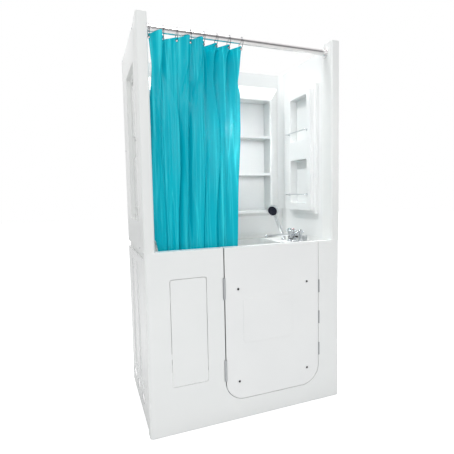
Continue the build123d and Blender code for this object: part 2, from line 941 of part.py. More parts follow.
valves = [make_valve(y, valve_top) for y in (cold_y, hot_y, diverter_y)]
control_post = make_valve(knob_y, base_top + control_rise - contact_gap)
write("valve_bodies", group(valves + [make_spout_post(), control_post]))
write("drain_control_knob", make_drain_control())
write("deck_cap", make_deck_cap())

# Hand shower in its dock
dock_long = 50.0
dock_wall = 3.0
hand_radius = 11.0
hand_start = 14.0
hand_long = 208.0
hand_tilt = 22.0
head_radius = 42.0
head_thick = 16.0
face_radius = 34.0
face_rise = 1.5
head_turn = 38.0
head_tip = 16.0
dome_angle = 90.0
jet_ring_radii = (11.0, 22.0)
jet_counts = (8, 14)
jet_radius = 1.6
jet_rise = 1.2

tilt_plane = Plane(
    origin=(fitting_x, dock_y, base_top),
    x_dir=(0, 1, 0),
    z_dir=(-math.sin(math.radians(hand_tilt)), 0, math.cos(math.radians(hand_tilt))),
)
head_normal = Vector(
    -math.cos(math.radians(head_turn)) * math.cos(math.radians(head_tip)),
    -math.sin(math.radians(head_turn)) * math.cos(math.radians(head_tip)),
    -math.sin(math.radians(head_tip)),
)
head_middle = (tilt_plane * Pos(0, 0, hand_long + head_radius / 2)).position
head_plane = Plane(origin=head_middle + head_normal * (head_thick / 2), z_dir=head_normal)


def make_dock():
    """A tilted cup on a short post: the hand shower's handle drops into it."""
    cup = tilt_plane * Pos(0, 0, dock_long / 2) * Cylinder(hand_radius + dock_wall, dock_long)
    cup -= tilt_plane * Pos(0, 0, hand_start + dock_long / 2) * Cylinder(
        hand_radius + contact_gap, dock_long
    )
    cup &= block(
        fitting_x - dock_long, fitting_x + dock_long, dock_y - dock_long, dock_y + dock_long,
        base_top, base_top + 2 * dock_long,
    )
    return cup + rod_z(fitting_x, dock_y, deck_height - valve_tail, base_top, stem_radius)


def make_hand_shower():
    """The handle, which narrows towards the dock, and the head on its upper end."""
    grip = loft([
        tilt_plane * Pos(0, 0, hand_start + contact_gap) * Circle(hand_radius - dock_wall),
        tilt_plane * Pos(0, 0, dock_long) * Circle(hand_radius),
        tilt_plane * Pos(0, 0, hand_long) * Circle(hand_radius + dock_wall / 2),
    ])
    head = head_plane * Cylinder(head_radius, head_thick)
    back = head_plane * Pos(0, 0, -head_thick / 2)
    head += back * Sphere(head_radius - head_thick, arc_size1=-dome_angle, arc_size2=0)
    return grip + head - head_plane * Pos(0, 0, head_thick / 2) * Cylinder(
        face_radius + contact_gap, 2 * face_rise
    )


def make_spray_face():
    face = head_plane * Pos(0, 0, head_thick / 2) * Cylinder(face_radius, 2 * face_rise)
    for radius, count in zip(jet_ring_radii, jet_counts):
        for step in range(count):
            angle = 2 * math.pi * step / count
            face += head_plane * Pos(
                radius * math.cos(angle), radius * math.sin(angle), head_thick / 2 + face_rise
            ) * Cylinder(jet_radius, 2 * jet_rise)
    return face


write("hand_shower_dock", make_dock())
write("hand_shower", make_hand_shower())
write("hand_shower_face", make_spray_face())

# Surround: side walls as an inner liner and an outer cover, both pressed to the same relief
panel_step = 24.0
panel_corner = 16.0
panel_front, panel_rear = 64.0, 215.0
panel_foot, panel_head = 158.0, 177.0
step_front, step_back, step_foot, step_head = 27.0, 21.0, 23.0, 31.0
niche_depth = 55.0
niche_corner = 10.0
niche_front_margin, niche_back_margin = 48.0, 28.0
niche_shares = ((0.065, 0.432), (0.595, 0.958))
screw_radius = 2.0
screw_clearance = 0.1
screw_head = 5.0
screw_rise = 1.5
screw_shares = (0.01, 0.5, 0.99)
screw_inset = 45.0

outer_front, outer_back = post_depth + panel_front, depth - panel_rear
outer_low, outer_high = rim_height + panel_foot, wall_top - panel_head
inner_front, inner_back = outer_front + step_front, outer_back - step_back
inner_low, inner_high = outer_low + step_foot, outer_high - step_head
relief_steps = (
    (panel_step, outer_front, outer_back, outer_low, outer_high),
    (2 * panel_step, inner_front, inner_back, inner_low, inner_high),
)
liner_x = half - wall_thickness
niche_face = liner_x - 2 * panel_step
niche_front, niche_back = inner_front + niche_front_margin, inner_back - niche_back_margin
niches = [
    [inner_low + share * (inner_high - inner_low) for share in shares] for shares in niche_shares
]
screw_places = [
    (behind(place), rim_height + share * (wall_top - rim_height))
    for place in (post_depth + screw_inset, depth - screw_inset)
    for share in screw_shares
]


def make_liner():
    """The right-hand wall's inner sheet: a field raised in two steps, with two niches in it."""
    liner = block(liner_x, liner_x + skin, behind(post_depth), back_y, rim_height, wall_top)
    for rise, front, back, low, high in relief_steps:
        liner += facing_x(
            liner_x - rise, liner_x + skin, behind(front), behind(back), low, high, panel_corner
        )
    for rise, front, back, low, high in relief_steps:
        liner -= facing_x(
            liner_x - rise + skin, liner_x + skin + overrun, behind(front + skin),
            behind(back - skin), low + skin, high - skin, panel_corner - skin,
        )
    for low, high in niches:
        liner += facing_x(
            niche_face, niche_face + niche_depth + skin, behind(niche_front - skin),
            behind(niche_back + skin), low - skin, high + skin, niche_corner + skin,
        )
        liner -= facing_x(
            niche_face - overrun, niche_face + niche_depth, behind(niche_front),
            behind(niche_back), low, high, niche_corner,
        )
    liner += block(liner_x, half - skin, behind(post_depth), back_y, wall_top - skin, wall_top)
    liner += block(liner_x, half - skin, back_y - skin, back_y, rim_height, wall_top)
    return liner


def make_cover():
    """The right-hand wall's outer sheet, hollowed in the same two steps."""
    cover = block(half - skin, half, behind(post_depth), back_y, rim_height, wall_top)
    for rise, front, back, low, high in relief_steps:
        cover += facing_x(
            half - rise - skin, half, behind(front - skin), behind(back + skin),
            low - skin, high + skin, panel_corner + skin,
        )
    for rise, front, back, low, high in relief_steps:
        cover -= facing_x(
            half - rise, half + overrun, behind(front), behind(back), low, high, panel_corner
        )
    deep = relief_steps[-1][0]
    for low, high in niches:
        cover -= facing_x(
            half - deep - skin - overrun, half + overrun, behind(niche_front - skin) - contact_gap,
            behind(niche_back + skin) + contact_gap, low - skin - contact_gap,
            high + skin + contact_gap, niche_corner + skin,
        )
    for y, z in screw_places:
        cover -= rod_x(half - skin - overrun, half + overrun, y, z, screw_radius + screw_clearance)
    return cover


def make_screw(y, z):
    """A round-headed screw in the right-hand cover."""
    return rod_x(half - skin, half, y, z, screw_radius) + rod_x(
        half, half + screw_rise, y, z, screw_head
    )


post_round = 12.0
post_crown = 30.0


def make_post():
    """The right-hand front post: a hollow section with a rounded crown."""
    def section(inset, low, high):
        return facing_z(
            half - post_width + inset, half - inset, behind(inset), behind(post_depth - inset),
            low, high, post_round - inset,
        )

    crown = facing_x(
        half - post_width, half, behind(-post_crown), behind(post_depth),
        rim_height - 2 * post_crown, post_top, post_crown,
    )
    post = section(0, rim_height, post_top) & crown
    return post - section(skin, rim_height - overrun, post_top - post_crown)


right_liner = make_liner()
right_cover = make_cover()
right_post = make_post()
screws = [make_screw(y, z) for y, z in screw_places]
write("right_wall_liner", right_liner)
write("left_wall_liner", mirrored(right_liner))
write("wall_covers", group([right_cover, mirrored(right_cover)]))
write("wall_screws", group(screws + [mirrored(screw) for screw in screws]))
write("front_posts", group([right_post, mirrored(right_post)]))

# Back wall: a sheet with a bevelled boss that holds a pocket with two shelves
back_margin = 44.0
boss_rise = 76.0
pocket_margin = 14.0
boss_inset = 32.0
boss_bevel = 92.0
boss_foot, boss_head = 130.0, 94.0
boss_low_bevel, boss_high_bevel = 26.0, 111.0
pocket_side, pocket_sill, pocket_head = 14.0, 22.0, 11.0
shelf_count = 2
shelf_thick = 18.0

back_face = back_y - back_margin
boss_face = back_face - boss_rise
pocket_back = back_y - pocket_margin
back_half = liner_x - contact_gap
boss_foot_half = liner_x - boss_inset
boss_foot_low, boss_foot_high = rim_height + boss_foot, wall_top - boss_head
boss_half = boss_foot_half - boss_bevel
boss_low, boss_high = boss_foot_low + boss_low_bevel, boss_foot_high - boss_high_bevel
pocket_half = boss_half - pocket_side
pocket_low, pocket_high = boss_low + pocket_sill, boss_high - pocket_head
shelf_gap = (pocket_high - pocket_low - shelf_count * shelf_thick) / (shelf_count + 1)


def rectangle_at(y, half_wide, low, high):
    plane = Plane(origin=(0, y, (low + high) / 2), x_dir=(1, 0, 0), z_dir=(0, -1, 0))
    return plane * Rectangle(2 * half_wide, high - low)


def boss_solid(inset, y_shift):
    foot = rectangle_at(
        back_face + skin + y_shift, boss_foot_half - inset, boss_foot_low + inset,
        boss_foot_high - inset,
    )
    face = rectangle_at(
        boss_face + y_shift, boss_half - inset / 2, boss_low + inset / 2, boss_high - inset / 2
    )
    return loft([foot, face], ruled=True)


def make_back_wall():
    wall = block(-back_half, back_half, back_face, back_face + skin, rim_height, wall_top)
    wall += boss_solid(0, 0)
    wall -= boss_solid(skin, skin)
    wall += block(
        -pocket_half - skin, pocket_half + skin, boss_face, pocket_back + skin,
        pocket_low - skin, pocket_high + skin,
    )
    wall -= block(
        -pocket_half, pocket_half, boss_face - overrun, pocket_back, pocket_low, pocket_high
    )
    for count in range(shelf_count):
        low = pocket_low + shelf_gap + count * (shelf_gap + shelf_thick)
        wall += block(
            -pocket_half - skin, pocket_half + skin, boss_face, pocket_back + skin,
            low, low + shelf_thick,
        )
        wall -= block(
            -pocket_half, pocket_half, boss_face + skin, pocket_back + skin + overrun,
            low + skin, low + shelf_thick - skin,
        )
    wall += block(-back_half, back_half, back_face, back_y, wall_top - skin, wall_top)
    for side in (-1, 1):
        wall += block(
            side * (back_half - skin), side * back_half, back_face, back_y, rim_height, wall_top
        )
    return wall


corner_leg = 34.0
corner_wall = 3.0
corner_foot = 180.0
corner_drop = 6.0


def make_corner_trim():
    """The right-hand inside corner's upright trim, hollowed towards the cabin."""
    low, high = rim_height + corner_foot, wall_top - corner_drop
    left, front = liner_x - corner_leg, back_face - corner_leg
    trim = block(left, liner_x, front, back_face, low, high)
    return trim - rod_z(
        left - corner_wall, front - corner_wall, low - overrun, high + overrun, corner_leg
    )


bead = 14.0
rail_inset = 12.0


def make_wall_bead():
    """Sealant along the foot of the three walls, on the deck."""
    side_run = block(
        liner_x - bead, liner_x, behind(post_depth), back_face, deck_height, deck_height + bead
    )
    back_run = block(
        -liner_x, liner_x, back_face - bead, back_face, deck_height, deck_height + bead
    )
    return side_run + mirrored(side_run) + back_run


def make_base_rails():
    """Rails between the deck and the foot of the walls."""
    side = block(
        liner_x, half - rail_inset, behind(rim_depth), back_y - rail_inset,
        deck_height, rim_height,
    )
    back = block(-liner_x, liner_x, back_face, back_face + rail_inset, deck_height, rim_height)
    return group([side, mirrored(side), back])


write("back_wall", make_back_wall())
trim = make_corner_trim()
write("corner_trims", group([trim, mirrored(trim)]))
write("wall_bead", make_wall_bead())
write("wall_base_rails", make_base_rails())

# Guard rails across the niches, each on two posts
rail_radius = 4.0
rail_post_radius = 3.0
rail_standoff = 22.0
rail_front_over, rail_back_over = 13.0, 26.0
rail_rise = 58.0
rail_foot = 8.0
rail_foot_thick = 3.0
rail_post_inset = 10.0


def make_niche_rail(z):
    x = niche_face - rail_standoff
    y0, y1 = behind(niche_front - rail_front_over), behind(niche_back + rail_back_over)
    rail = rod_y(x, y0, y1, z, rail_radius)
    for y in (y0 + rail_post_inset / 2, y1 - rail_post_inset):
        rail += rod_x(x, niche_face, y, z, rail_post_radius)
        rail += rod_x(niche_face - rail_foot_thick, niche_face, y, z, rail_foot)
    for y in (y0, y1):
        rail += Pos(x, y, z) * Sphere(rail_radius)
    return rail


rails = [make_niche_rail(low + rail_rise) for low, high in niches]
write("niche_rails", group(rails + [mirrored(rail) for rail in rails]))

# Curtain rod, its flanges and the curtain's rings
rod_place = 65.0
rod_drop = 37.0
rod_radius = 18.0
rod_wall = 2.0
rod_clearance = 0.1
flange_radius = 32.0
flange_thick = 6.0
ring_radius = 30.0
ring_wire = 1.5
ring_count = 8
ring_start = 15.0
ring_span = 520.0
rod_y_place = behind(rod_place)
rod_height = wall_top - rod_drop
rod_end = half - post_width
ring_height = rod_height + rod_radius + contact_gap + ring_wire - ring_radius
ring_places = [
    ring_start - rod_end + ring_span * index / (ring_count - 1) for index in range(ring_count)
]


def make_rod():
    outside = rod_x(-rod_end, rod_end, rod_y_place, rod_height, rod_radius)
    return outside - rod_x(
        -rod_end - overrun, rod_end + overrun, rod_y_place, rod_height, rod_radius - rod_wall
    )


def make_rod_flange():
    flange = rod_x(rod_end - flange_thick, rod_end, rod_y_place, rod_height, flange_radius)
    flange = fillet(flange.faces().sort_by(Axis.X)[0].edges(), flange_thick / 2)
    return flange - rod_x(
        rod_end - flange_thick - overrun, rod_end + overrun, rod_y_place, rod_height,
        rod_radius + rod_clearance,
    )


def make_ring(x):
    plane = Plane(origin=(x, rod_y_place, ring_height), x_dir=(0, 1, 0), z_dir=(1, 0, 0))
    return plane * Torus(ring_radius, ring_wire)


write("curtain_rod", make_rod())
flange = make_rod_flange()
write("rod_flanges", group([flange, mirrored(flange)]))
for number, x in enumerate(ring_places, start=1):
    write(f"curtain_ring_{number}", make_ring(x))

# Curtain: folds that are arcs to and fro, drawn in at the rings and fuller below
curtain_thick = 1.5
curtain_overhang = 4.0
curtain_setback = 8.0
curtain_draw_in = 6.0
hem_rise = 16.0
fold_depth = 15.0
folds = 2 * (ring_count - 1)
curtain_top = ring_height - ring_radius - ring_wire - contact_gap
curtain_hem = deck_height + hem_rise
curtain_left = ring_places[0] - curtain_overhang
curtain_right = ring_places[-1] + curtain_overhang
# From the top down: shares of the height, the setback, the fold depth and the draw-in of the sides
curtain_level_shares = (
    (1.0, 0.0, 0.6, 0.0),
    (0.91, 0.4, 1.0, 1.0),
    (0.44, 1.0, 0.87, 0.5),
    (0.0, 1.0, 1.0, 1.0),
)


def curtain_section(height_share, setback_share, fold_share, draw_share):
    z = curtain_hem + height_share * (curtain_top - curtain_hem)
    y = rod_y_place + setback_share * curtain_setback
    draw_in = draw_share * curtain_draw_in
    left, right = curtain_left + draw_in, curtain_right - draw_in
    chord = (right - left) / folds
    half_turn = 2 * math.atan2(fold_share * fold_depth, chord / 2)
    radius = chord / 2 / math.sin(half_turn)

    def edge_points(offset):
        points = []
        for index in range(folds + 1):
            slope = half_turn if index % 2 == 0 else -half_turn
            points.append(
                Vector(left + index * chord - offset * math.sin(slope),
                       y + offset * math.cos(slope), z)
            )
        return points

    def edge_arcs(offset):
        arcs = []
        points = edge_points(offset)
        for index in range(folds):
            side = 1 if index % 2 == 0 else -1
            middle = Vector(
                left + (index + 1 / 2) * chord,
                y + side * (radius - radius * math.cos(half_turn)) + offset, z,
            )
            arcs.append(ThreePointArc(points[index], middle, points[index + 1]))
        return arcs, points

    near, near_points = edge_arcs(-curtain_thick / 2)
    far, far_points = edge_arcs(curtain_thick / 2)
    ends = [Line(near_points[0], far_points[0]), Line(near_points[-1], far_points[-1])]
    return make_face(Wire(near + far + ends))


def make_curtain():
    return loft([curtain_section(*shares) for shares in curtain_level_shares], ruled=True)


write("shower_curtain", make_curtain())
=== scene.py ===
import json
from math import pi, radians

import bpy
import numpy as np
from mathutils import Matrix, Vector


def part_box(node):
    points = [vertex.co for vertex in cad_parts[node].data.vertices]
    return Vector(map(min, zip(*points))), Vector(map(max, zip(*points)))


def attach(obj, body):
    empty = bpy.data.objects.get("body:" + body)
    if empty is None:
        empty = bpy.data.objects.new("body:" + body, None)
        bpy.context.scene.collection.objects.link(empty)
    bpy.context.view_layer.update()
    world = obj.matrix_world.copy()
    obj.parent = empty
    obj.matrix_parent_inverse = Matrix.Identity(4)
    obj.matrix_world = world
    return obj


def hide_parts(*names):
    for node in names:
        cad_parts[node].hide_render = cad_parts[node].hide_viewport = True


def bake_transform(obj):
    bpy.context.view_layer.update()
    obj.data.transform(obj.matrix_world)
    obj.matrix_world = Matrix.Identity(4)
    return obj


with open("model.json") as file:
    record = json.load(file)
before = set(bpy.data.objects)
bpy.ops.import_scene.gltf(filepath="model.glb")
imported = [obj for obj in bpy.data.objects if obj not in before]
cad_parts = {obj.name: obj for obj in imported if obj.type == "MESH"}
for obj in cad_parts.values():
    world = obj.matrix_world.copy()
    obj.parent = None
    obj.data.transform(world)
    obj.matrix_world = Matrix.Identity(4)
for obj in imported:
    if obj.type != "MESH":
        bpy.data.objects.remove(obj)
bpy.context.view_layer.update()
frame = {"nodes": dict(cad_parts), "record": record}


# shader helpers

def tone(red, green, blue):  # a colour as the eye reads it, 0 to 255, made linear
    shades = [value / 255 for value in (red, green, blue)]
    linear = [s / 12.92 if s <= 0.04045 else ((s + 0.055) / 1.055) ** 2.4 for s in shades]
    return (*linear, 1)


class Wire:  # one shader socket that can be used in sums
    def __init__(self, mix, socket):
        self.mix, self.socket = mix, socket

    def sum(self, operation, first, second):
        return self.mix.add("ShaderNodeMath", {"operation": operation}, {0: first, 1: second})

    def __add__(self, other):
        return self.sum("ADD", self, other)

    def __radd__(self, other):
        return self.sum("ADD", other, self)

    def __sub__(self, other):
        return self.sum("SUBTRACT", self, other)

    def __rsub__(self, other):
        return self.sum("SUBTRACT", other, self)

    def __mul__(self, other):
        return self.sum("MULTIPLY", self, other)

    def __rmul__(self, other):
        return self.sum("MULTIPLY", other, self)

    def __pow__(self, other):
        return self.sum("POWER", self, other)

    def __gt__(self, other):
        return self.sum("GREATER_THAN", self, other)

    def __lt__(self, other):
        return self.sum("LESS_THAN", self, other)


class Finish:  # a material, or the world's air, while it is being mixed
    def __init__(self, name, home=bpy.data.materials, output="ShaderNodeOutputMaterial"):
        self.owner = home.new(name)
        self.owner.use_nodes = True
        self.tree = self.owner.node_tree
        self.tree.nodes.clear()
        self.output = output

    def add(self, kind, settings=None, sockets=None, result=0):
        made = self.tree.nodes.new(kind)
        for key, value in (settings or {}).items():
            setattr(made, key, value)
        for key, value in (sockets or {}).items():
            if isinstance(value, Wire):
                self.tree.links.new(value.socket, made.inputs[key])
            else:
                made.inputs[key].default_value = value
        return made if result is None else Wire(self, made.outputs[result])

    def place(self, turn=(0, 0, 0), stretch=(1, 1, 1)):  # the object's own coordinates
        here = self.add("ShaderNodeTexCoord", result="Object")
        return self.add("ShaderNodeMapping", {}, {"Vector": here, "Rotation": turn, "Scale": stretch})

    def grain(self, scale, detail=2.0, rough=0.5, where=None):
        where = where or self.place()
        sockets = {"Vector": where, "Scale": scale, "Detail": detail, "Roughness": rough}
        return self.add("ShaderNodeTexNoise", {"noise_dimensions": "3D"}, sockets)

    def between(self, share, first, second):  # sockets 6 and 7 are the two colours, 2 is their mix
        settings = {"data_type": "RGBA", "blend_type": "MIX", "clamp_factor": True}
        return self.add("ShaderNodeMix", settings, {"Factor": share, 6: first, 7: second}, 2)

    def relief(self, height, depth, under=None):
        sockets = {"Height": height, "Distance": depth, "Strength": 1.0}
        if under:
            sockets["Normal"] = under
        return self.add("ShaderNodeBump", {}, sockets)

    def soften(self, radius):  # rounds a crisp edge a little
        return self.add("ShaderNodeBevel", {"samples": 6}, {"Radius": radius})

    def ridges(self, scale, sharp, run):  # thin lines that run down a cloth, used as ridges in the relief and as painted highlights in the colour
        wander = 2 * self.grain(scale, detail=1.5, where=self.place(stretch=run)) - 1
        return (1 - wander.sum("ABSOLUTE", wander, 0)) ** sharp

    def within(self, low, high):  # 1 inside a box between two corners
        here = self.add("ShaderNodeTexCoord", result="Object")
        share = 1
        for axis in range(3):
            place = self.add("ShaderNodeSeparateXYZ", {}, {0: here}, axis)
            share = (place > low[axis]) * (place < high[axis]) * share
        return share

    def either(self, *kinds):  # 1 where the ray is of one of these kinds
        rays = [self.add("ShaderNodeLightPath", result=kind) for kind in kinds]
        share = rays[0]
        for ray in rays[1:]:
            share = share.sum("MAXIMUM", share, ray)
        return share

    def close(self, surface):
        out = self.add(self.output, result=None)
        self.tree.links.new(surface.socket, out.inputs["Surface"])
        return self.owner


def solid(mix, look, colour, roughness, normal, **varied):  # a look's constants, and its mixed sockets
    sockets = {"Base Color": colour, "Roughness": roughness, "Normal": normal}
    for socket in ("Metallic", "IOR", "Coat Weight", "Coat Roughness", "Specular IOR Level"):
        if socket in look:
            sockets[socket] = look[socket]
    sockets.update(varied)
    return mix.close(mix.add("ShaderNodeBsdfPrincipled", {}, sockets))


# moulded acrylic: slow drift of tone, faint wipe marks, a long shallow ripple

moulding = {
    "wipeTurn": (0.3, 0.5, 0.2),
    "wipeStretch": (1, 1, 0.3),
    "peel": 0.12,            # how much of a fine orange peel lies on the long ripple
    "peelFiner": 14,
    # tone of the painted shade along the door's hinge gap
    "hingeGapShadeTone": tone(20, 20, 22),
}


def acrylicFinish(name, look):
    mix = Finish(name)
    drift = mix.grain(look["drift"])
    colour = mix.between(drift, look["colour"], look["shade"])
    aslant = mix.place(turn=moulding["wipeTurn"], stretch=moulding["wipeStretch"])
    wipes = mix.grain(look["wipes"], detail=5.0, rough=0.62, where=aslant)
    roughness = look["gloss"] + look["spread"] * wipes
    peel = mix.grain(look["ripple"] * moulding["peelFiner"])
    ripple = mix.grain(look["ripple"], detail=1.5) + moulding["peel"] * peel
    normal = mix.relief(ripple, look["depth"], mix.soften(look["edge"]))
    # painted shade: the door's hinge-side edge is darkened where the hinge gap's shadow falls
    if "hingeGapShade" in look:
        colour = mix.between(mix.within(*look["hingeGapShade"]), colour, moulding["hingeGapShadeTone"])
    return solid(mix, look, colour, roughness, normal)


acrylicLooks = {
    # the dark strip along the door's hinge-side edge is painted shade, standing in for the shadow in the
    # hinge gap
    "acrylic": dict(
        colour=tone(243, 244, 243), shade=tone(237, 239, 238), drift=3.0, wipes=9.0, gloss=0.13,
        spread=0.10, ripple=11.0, depth=0.0016, edge=0.0030, IOR=1.49,
    ),
    "door_acrylic": dict(
        colour=tone(244, 245, 244), shade=tone(239, 240, 240), drift=3.6, wipes=11.0, gloss=0.14,
        spread=0.10, ripple=9.0, depth=0.0015, edge=0.0025, IOR=1.49,
        hingeGapShade=((-0.180, -0.36, 0.2), (-0.1672, -0.30, 1.03)),
    ),
    "wall_acrylic": dict(
        colour=tone(244, 245, 245), shade=tone(239, 241, 240), drift=2.4, wipes=7.0, gloss=0.12,
        spread=0.10, ripple=7.0, depth=0.0018, edge=0.0040, IOR=1.49,
    ),
    "cover_acrylic": dict(
        colour=tone(240, 241, 239), shade=tone(234, 236, 235), drift=2.6, wipes=8.0, gloss=0.24,
        spread=0.14, ripple=10.0, depth=0.0012, edge=0.0020, IOR=1.47,
    ),
}


# soft and moulded plastics: a fine grain on a satin skin

glossDrift = 0.2  # the gloss drifts at this share of the grain's scale


def plasticFinish(name, look):
    mix = Finish(name)
    fine = mix.grain(look["grain"], detail=3.0)
    colour = mix.between(fine, look["colour"], look["shade"])
    roughness = look["gloss"] + look["spread"] * mix.grain(look["grain"] * glossDrift)
    normal = mix.relief(fine, look["depth"], mix.soften(look["edge"]))
    return solid(mix, look, colour, roughness, normal)


plasticLooks = {
    "sealant": dict(
        colour=tone(244, 244, 242), shade=tone(233, 234, 232), grain=90.0, gloss=0.34, spread=0.2,
        depth=0.0006, edge=0.0020, IOR=1.41,
    ),
    "seal_rubber": dict(
        colour=tone(58, 60, 62), shade=tone(46, 48, 50), grain=500.0, gloss=0.55, spread=0.2,
        depth=0.00012, edge=0.0010, IOR=1.5,
    ),
    "cap_white": dict(
        colour=tone(240, 240, 240), shade=tone(230, 231, 231), grain=900.0, gloss=0.28, spread=0.15,
        depth=0.00005, edge=0.0006, IOR=1.49,
    ),
    "cap_black": dict(
        colour=tone(5, 5, 6), shade=tone(12, 12, 14), grain=900.0, gloss=0.35, spread=0.2,
        depth=0.00006, edge=0.0006, IOR=1.5,
    ),
    "foot_plastic": dict(
        colour=tone(38, 39, 41), shade=tone(52, 53, 55), grain=420.0, gloss=0.5, spread=0.2,
        depth=0.00015, edge=0.0010, IOR=1.5,
    ),
    "spray_black": dict(
        colour=tone(14, 16, 32), shade=tone(27, 30, 52), grain=700.0, gloss=0.22, spread=0.15,
        depth=0.00005, edge=0.0005, IOR=1.5,
    ),
    "cold_blue": dict(
        colour=tone(22, 142, 150), shade=tone(34, 158, 160), grain=600.0, gloss=0.12, spread=0.1,
        depth=0.00003, edge=0.0005, IOR=1.49,
    ),
    "hot_red": dict(
        colour=tone(206, 40, 58), shade=tone(220, 58, 74), grain=600.0, gloss=0.12, spread=0.1,
        depth=0.00003, edge=0.0005, IOR=1.49,
    ),
    "index_black": dict(
        colour=tone(18, 18, 20), shade=tone(30, 30, 33), grain=600.0, gloss=0.14, spread=0.1,
        depth=0.00003, edge=0.0005, IOR=1.49,
    ),
    "lever_black": dict(
        colour=tone(24, 24, 26), shade=tone(38, 38, 41), grain=500.0, gloss=0.3, spread=0.2,
        depth=0.00006, edge=0.0006, IOR=1.5,
    ),
    "knob_grey": dict(
        colour=tone(176, 180, 182), shade=tone(160, 164, 167), grain=500.0, gloss=0.3, spread=0.2,
        depth=0.00006, edge=0.0008, IOR=1.5,
    ),
    "spare_cap": dict(
        colour=tone(216, 218, 218), shade=tone(202, 205, 206), grain=500.0, gloss=0.25, spread=0.15,
        depth=0.00005, edge=0.0008, IOR=1.5,
    ),
    "pipe_plastic": dict(
        colour=tone(232, 232, 228), shade=tone(218, 219, 214), grain=160.0, gloss=0.38, spread=0.2,
        depth=0.0002, edge=0.0010, IOR=1.5,
    ),
}


# polished metal: faint smears over a mirror

# painted shade: tone and dullness of the dark bands on the chrome fittings
darkBandLook = {"tone": tone(26, 27, 29), "matt": 0.3}


def polishedFinish(name, look):
    mix = Finish(name)
    smear = mix.grain(look["smear"], detail=4.0, rough=0.6)
    colour = mix.between(smear, look["colour"], look["shade"])
    roughness = look["gloss"] + look["spread"] * smear
    waves = mix.grain(look["smear"] * 2, detail=1.0)
    normal = mix.relief(waves, look["depth"], mix.soften(look["edge"]))
    if "darkBands" not in look:
        return solid(mix, look, colour, roughness, normal)
    # painted shade: inside the dark bands the chrome turns dark, matt and not metal
    darkBands = 0
    for low, high in look["darkBands"]:
        darkBands = mix.within(low, high) + darkBands
    colour = mix.between(darkBands, colour, darkBandLook["tone"])
    return solid(mix, look, colour, roughness + darkBandLook["matt"] * darkBands, normal, Metallic=1 - darkBands)


polishedLooks = {
    # the dark bands are painted shade at the feet of the bases, where their contact shadow on the deck
    # falls, and a dark matt band on the spout's post
    "chrome": dict(
        colour=tone(226, 228, 231), shade=tone(212, 215, 219), smear=24.0, gloss=0.04, spread=0.09,
        depth=0.00008, edge=0.0008, Metallic=1.0,
        darkBands=(
            ((0.46, -0.2, 0.979), (0.52, 0.2, 0.9823)),
            ((0.476, -0.0485, 1.005), (0.504, -0.0205, 1.0235)),
        ),
    ),
    "latch_chrome": dict(
        colour=tone(224, 226, 229), shade=tone(210, 213, 217), smear=20.0, gloss=0.06, spread=0.1,
        depth=0.00008, edge=0.0010, Metallic=1.0,
    ),
    "rail_chrome": dict(
        colour=tone(226, 228, 230), shade=tone(213, 215, 219), smear=22.0, gloss=0.06, spread=0.1,
        depth=0.00006, edge=0.0006, Metallic=1.0,
    ),
    "rod_chrome": dict(
        colour=tone(238, 236, 236), shade=tone(226, 224, 224), smear=8.0, gloss=0.2, spread=0.08,
        depth=0.00010, edge=0.0006, Metallic=1.0,
    ),
    "ring_chrome": dict(
        colour=tone(104, 106, 110), shade=tone(84, 87, 92), smear=60.0, gloss=0.07, spread=0.1,
        depth=0.00003, edge=0.0003, Metallic=1.0,
    ),
    "hand_chrome": dict(
        colour=tone(236, 238, 240), shade=tone(224, 227, 230), smear=26.0, gloss=0.05, spread=0.09,
        depth=0.00008, edge=0.0010, Metallic=1.0,
    ),
}


# brushed metal: fine lines along one direction

def brushedFinish(name, look):
    mix = Finish(name)
    lines = mix.grain(look["lines"], detail=3.0, rough=0.7, where=mix.place(stretch=look["along"]))
    cloud = mix.grain(look["cloud"])
    colour = mix.between(lines, look["colour"], look["shade"])
    roughness = look["gloss"] + look["spread"] * lines + look["dull"] * cloud
    normal = mix.relief(lines, look["depth"], mix.soften(look["edge"]))
    return solid(mix, look, colour, roughness, normal)


brushedLooks = {
    "stainless": dict(
        colour=tone(196, 198, 200), shade=tone(172, 175, 178), lines=420.0, along=(1, 1, 0.05),
        cloud=14.0, dull=0.06, gloss=0.22, spread=0.18, depth=0.00005, edge=0.0006, Metallic=1.0,
    ),
    "screw_steel": dict(
        colour=tone(190, 192, 195), shade=tone(160, 163, 167), lines=700.0, along=(1, 0.2, 1),
        cloud=60.0, dull=0.06, gloss=0.22, spread=0.18, depth=0.00003, edge=0.0003, Metallic=1.0,
    ),
}


# galvanised frame steel: spangles

def galvanisedFinish(name, look):
    mix = Finish(name)
    settings = {"feature": "F1", "voronoi_dimensions": "3D"}
    flakes = mix.add("ShaderNodeTexVoronoi", settings, {"Vector": mix.place(), "Scale": look["flakes"]}, 1)
    shade = mix.add("ShaderNodeSeparateColor", {}, {"Color": flakes})
    colour = mix.between(shade, look["colour"], look["shade"])
    roughness = look["gloss"] + look["spread"] * shade
    pits = mix.grain(look["flakes"] * 2, detail=3.0)
    normal = mix.relief(pits, look["depth"], mix.soften(look["edge"]))
    return solid(mix, look, colour, roughness, normal)


frameLook = dict(
    colour=tone(176, 180, 183), shade=tone(146, 151, 155), flakes=70.0, gloss=0.34, spread=0.2,
    depth=0.0002, edge=0.0012, Metallic=0.9,
)


# curtain vinyl: glossy, streaked and finely ridged along its run, with painted highlights along the ridges

